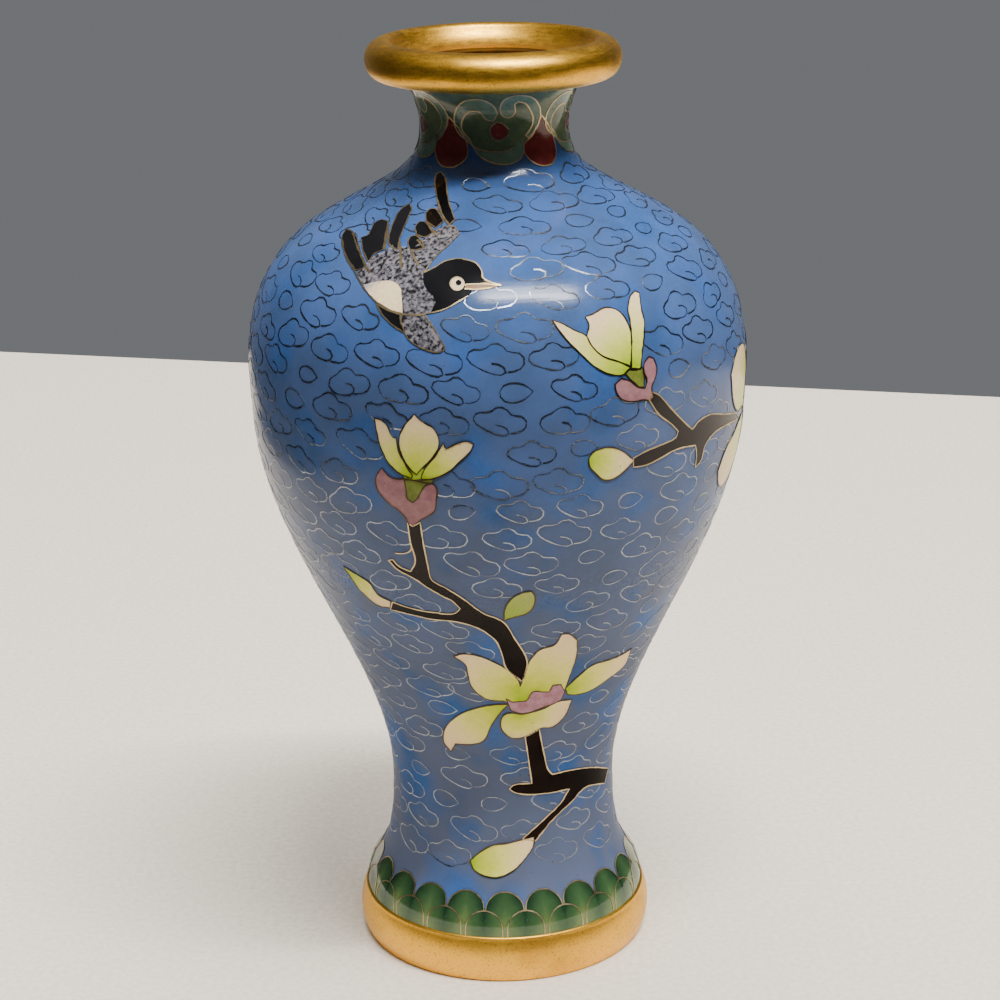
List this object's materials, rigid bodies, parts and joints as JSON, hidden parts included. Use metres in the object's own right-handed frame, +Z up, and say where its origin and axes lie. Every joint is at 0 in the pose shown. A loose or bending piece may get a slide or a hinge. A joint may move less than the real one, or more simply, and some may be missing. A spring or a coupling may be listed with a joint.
{
  "type": "cloisonne vase",
  "caption": "Miniature baluster vase of enamelled copper, hollow and open at the top, with a gilt rolled mouth rim and a gilt foot ring; it stands by its own weight.",
  "frame": {"origin": "centre of the foot ring's underside, on the surface that the vase stands on", "axes": "+Z up along the axis of the vase; -Y is the front, with the bird and the blossoming branch"},
  "size_m": [0.0526, 0.0526, 0.1],
  "materials": {
    "enamel": "polished vitreous enamel with flush metal wires",
    "gilt_rim": "satin gilding, lightly pitted",
    "gilt_foot": "satin gilding, lightly pitted"
  },
  "bodies": {
    "root": {"vase_body": "enamel", "mouth_rim": "gilt_rim", "foot_ring": "gilt_foot"}
  },
  "joints": []
}
